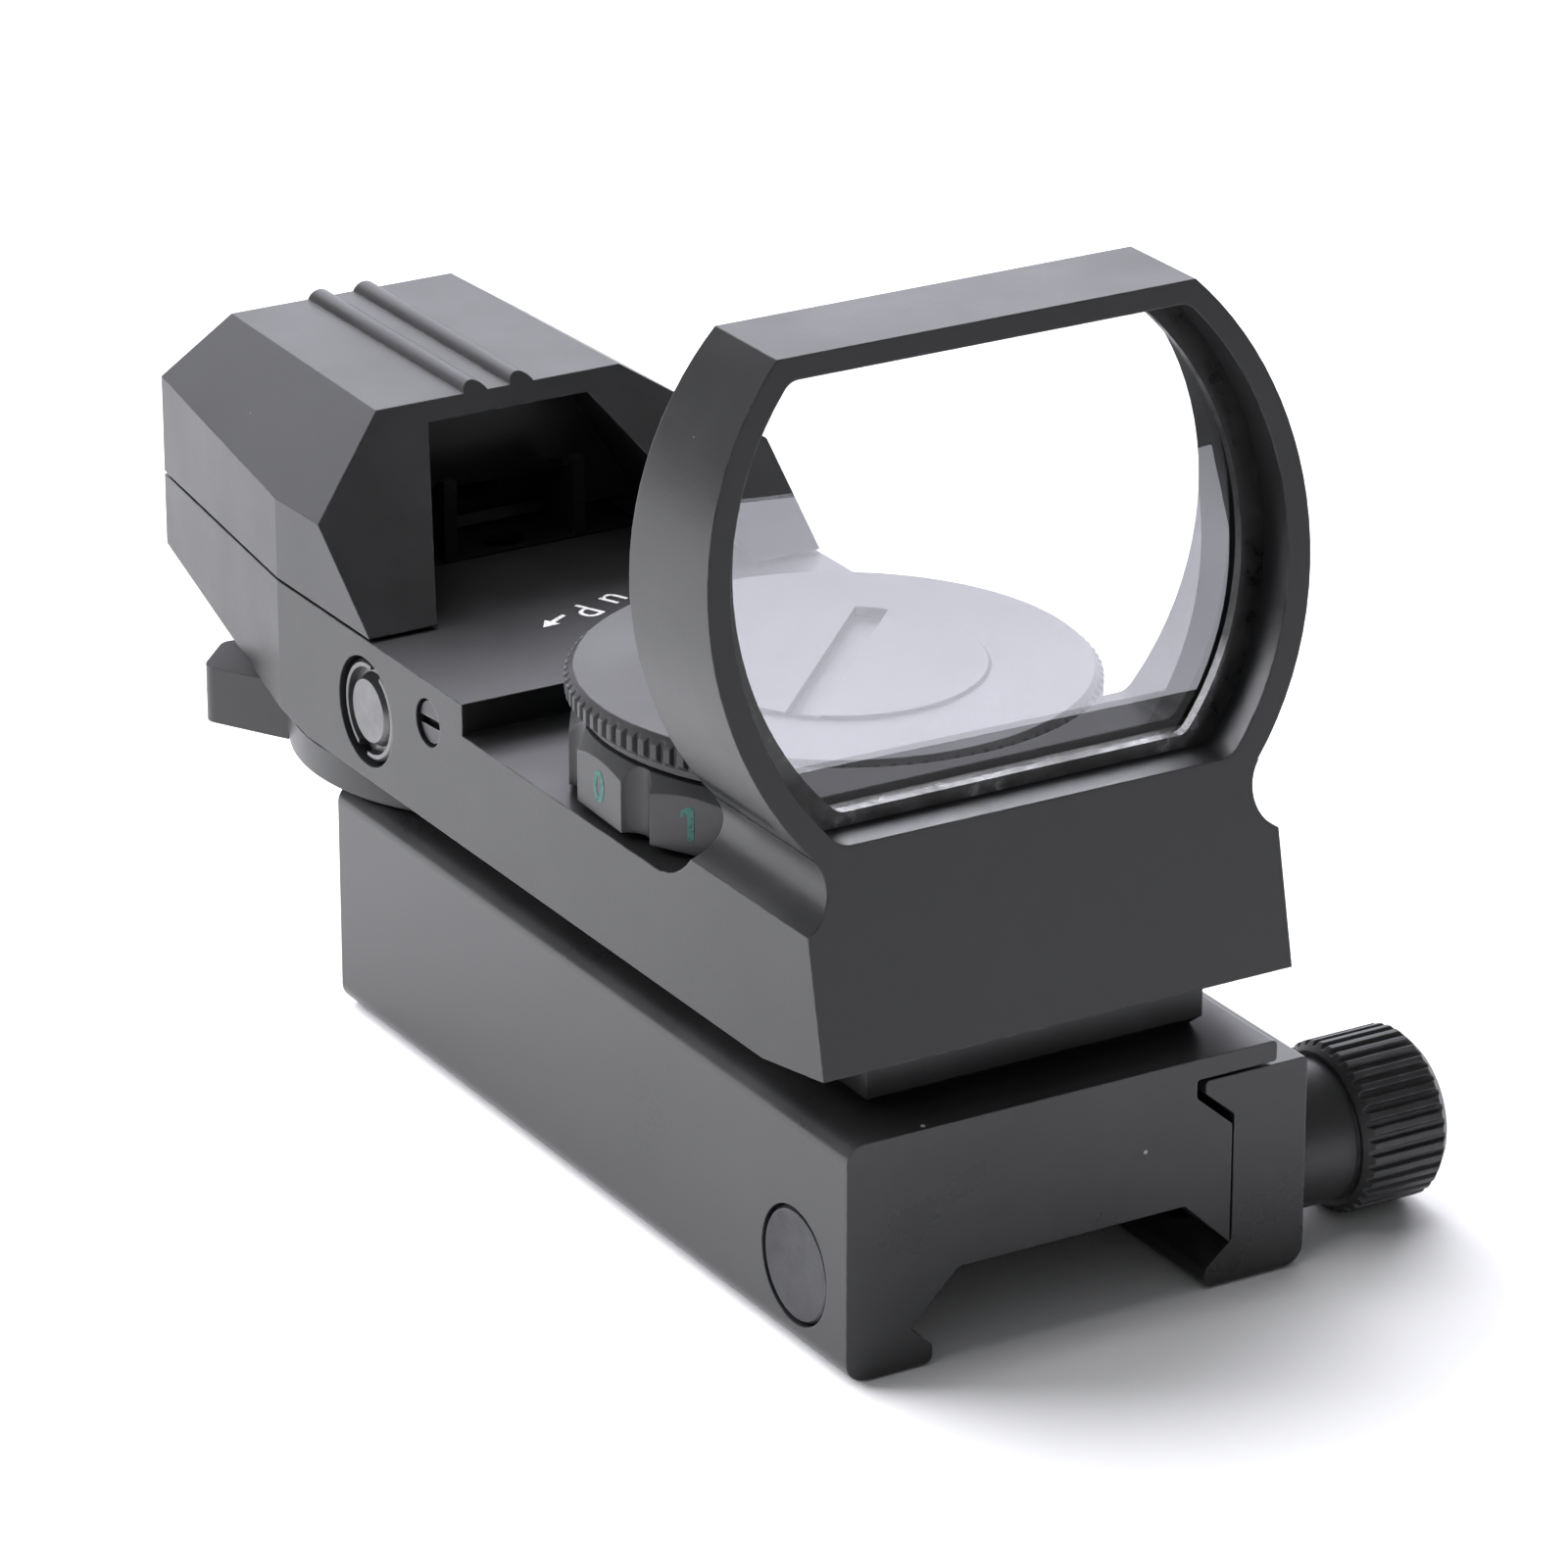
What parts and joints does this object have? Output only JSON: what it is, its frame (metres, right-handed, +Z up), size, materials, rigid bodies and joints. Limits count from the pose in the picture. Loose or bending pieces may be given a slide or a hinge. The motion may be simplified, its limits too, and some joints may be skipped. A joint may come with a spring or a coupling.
{
  "type": "red dot finder",
  "caption": "Rail-mounted red dot finder: leaning framed lens, numbered brightness dial with battery cap, emitter hood, reticle lever and dovetail rail clamp with thumb nut.",
  "frame": {"origin": "middle of the flat rail seat, the face that lies on top of the rail", "axes": "+Y from the lens frame towards the emitter hood, along the line of sight; +X towards the thumb nut; +Z up, away from the rail"},
  "size_m": [0.0454, 0.0864, 0.0564],
  "materials": {
    "black_anodised": "satin black anodised, fine bead-blast grain",
    "hood_anodised": "satin black anodised",
    "mount_anodised": "semi-gloss black anodised",
    "dial_anodised": "satin black anodised, turned",
    "knurled_black": "matte black anodised, knurled",
    "inner_black": "dull black",
    "dark_screw": "black oxide",
    "dark_bolt": "black oxide, slightly worn",
    "screw_silver": "turned, bright",
    "bright_steel": "polished",
    "spring_steel": "drawn wire",
    "cell_can": "bright can",
    "coated_glass": "clear, reflective coating",
    "gasket_black": "black glossy sealant",
    "seal_rubber": "black rubber",
    "circuit_board": "green solder mask",
    "led_red": "clear red epoxy",
    "contact_brass": "bright",
    "reticle_film": "dark film",
    "front_mirror": "front-surface mirror"
  },
  "bodies": {
    "sight_body": {"body_housing": "black_anodised", "hood": "hood_anodised", "hood_screws": "dark_screw", "objective_lens": "coated_glass", "lens_gasket": "gasket_black", "riser_plate": "mount_anodised", "riser_screws": "dark_screw", "clamp_base": "mount_anodised", "cross_bolt": "dark_bolt", "clamp_spring": "spring_steel", "bottom_cover": "black_anodised", "cover_screws": "dark_screw", "switch_board": "circuit_board", "detent_ball": "bright_steel", "detent_spring": "spring_steel", "emitter_board": "circuit_board", "board_screws": "bright_steel", "emitter_led": "led_red", "yoke_pin": "bright_steel", "cradle_pin": "bright_steel", "windage_spring": "spring_steel", "elevation_spring": "spring_steel"},
    "clamp_jaw": {"clamp_jaw": "mount_anodised"},
    "thumb_nut": {"thumb_nut": "knurled_black"},
    "brightness_dial": {"dial_ring": "dial_anodised", "dial_wiper": "contact_brass", "dial_retainer": "contact_brass", "dial_screw": "bright_steel", "coin_cell": "cell_can", "battery_spring": "spring_steel"},
    "cap_seal": {"cap_o_ring": "seal_rubber"},
    "battery_cap": {"battery_cap": "knurled_black"},
    "reticle_selector": {"selector_disc": "dial_anodised", "selector_screw": "dark_screw", "reticle_wheel": "reticle_film"},
    "windage_yoke": {"windage_yoke": "inner_black"},
    "windage_screw": {"windage_screw": "screw_silver"},
    "mirror_cradle": {"mirror_cradle": "inner_black", "beam_mirror": "front_mirror"},
    "elevation_screw": {"elevation_screw": "screw_silver"},
    "elevation_lock": {"elevation_lock_screw": "dark_screw"}
  },
  "joints": [
    {"name": "clamp_jaw_slide", "type": "slide", "parent": "sight_body", "child": "clamp_jaw", "axis": [1, 0, 0], "range_m": [0, 0.0021]},
    {"name": "thumb_nut_turn", "type": "hinge", "parent": "clamp_jaw", "child": "thumb_nut", "pos_m": [0.02, -0.0244, -0.0005], "axis": [1, 0, 0], "range_deg": [0, 1080]},
    {"name": "brightness_dial_turn", "type": "hinge", "parent": "sight_body", "child": "brightness_dial", "pos_m": [0, -0.0036, 0.02], "axis": [0, 0, 1], "range_deg": [-330, 0]},
    {"name": "cap_seal_lift", "type": "slide", "parent": "brightness_dial", "child": "cap_seal", "axis": [0, 0, 1], "range_m": [0, 0.0025]},
    {"name": "battery_cap_turn", "type": "hinge", "parent": "cap_seal", "child": "battery_cap", "pos_m": [0, -0.0036, 0.024], "axis": [0, 0, 1], "range_deg": [0, 900]},
    {"name": "reticle_selector_turn", "type": "hinge", "parent": "sight_body", "child": "reticle_selector", "pos_m": [0, 0.0315, 0.01], "axis": [0, 0, 1], "range_deg": [-94, 0]},
    {"name": "windage_screw_turn", "type": "hinge", "parent": "sight_body", "child": "windage_screw", "pos_m": [-0.0145, 0.02464, 0.01558], "axis": [1, 0, 0], "range_deg": [-360, 360]},
    {"name": "windage_yoke_swing", "type": "hinge", "parent": "sight_body", "child": "windage_yoke", "pos_m": [0, 0.044, 0.0184], "axis": [0, 0, 1], "range_deg": [-1.02, 1.02]},
    {"name": "elevation_screw_turn", "type": "hinge", "parent": "sight_body", "child": "elevation_screw", "pos_m": [0.0032, 0.0176, 0.0195], "axis": [0, 0, 1], "range_deg": [-360, 360]},
    {"name": "mirror_cradle_tilt", "type": "hinge", "parent": "sight_body", "child": "mirror_cradle", "pos_m": [0, 0.0466, 0.0184], "axis": [1, 0, 0], "range_deg": [-0.98, 0.98]},
    {"name": "elevation_lock_turn", "type": "hinge", "parent": "sight_body", "child": "elevation_lock", "pos_m": [-0.0145, 0.0167, 0.0176], "axis": [1, 0, 0], "range_deg": [0, 720]}
  ],
  "couplings": [
    {"joint": "thumb_nut_turn", "follows": "clamp_jaw_slide", "rad_per_m": 8976},
    {"joint": "battery_cap_turn", "follows": "cap_seal_lift", "rad_per_m": 6283.2},
    {"joint": "windage_screw_turn", "follows": "windage_yoke_swing", "ratio": 350},
    {"joint": "elevation_screw_turn", "follows": "mirror_cradle_tilt", "ratio": 365}
  ]
}
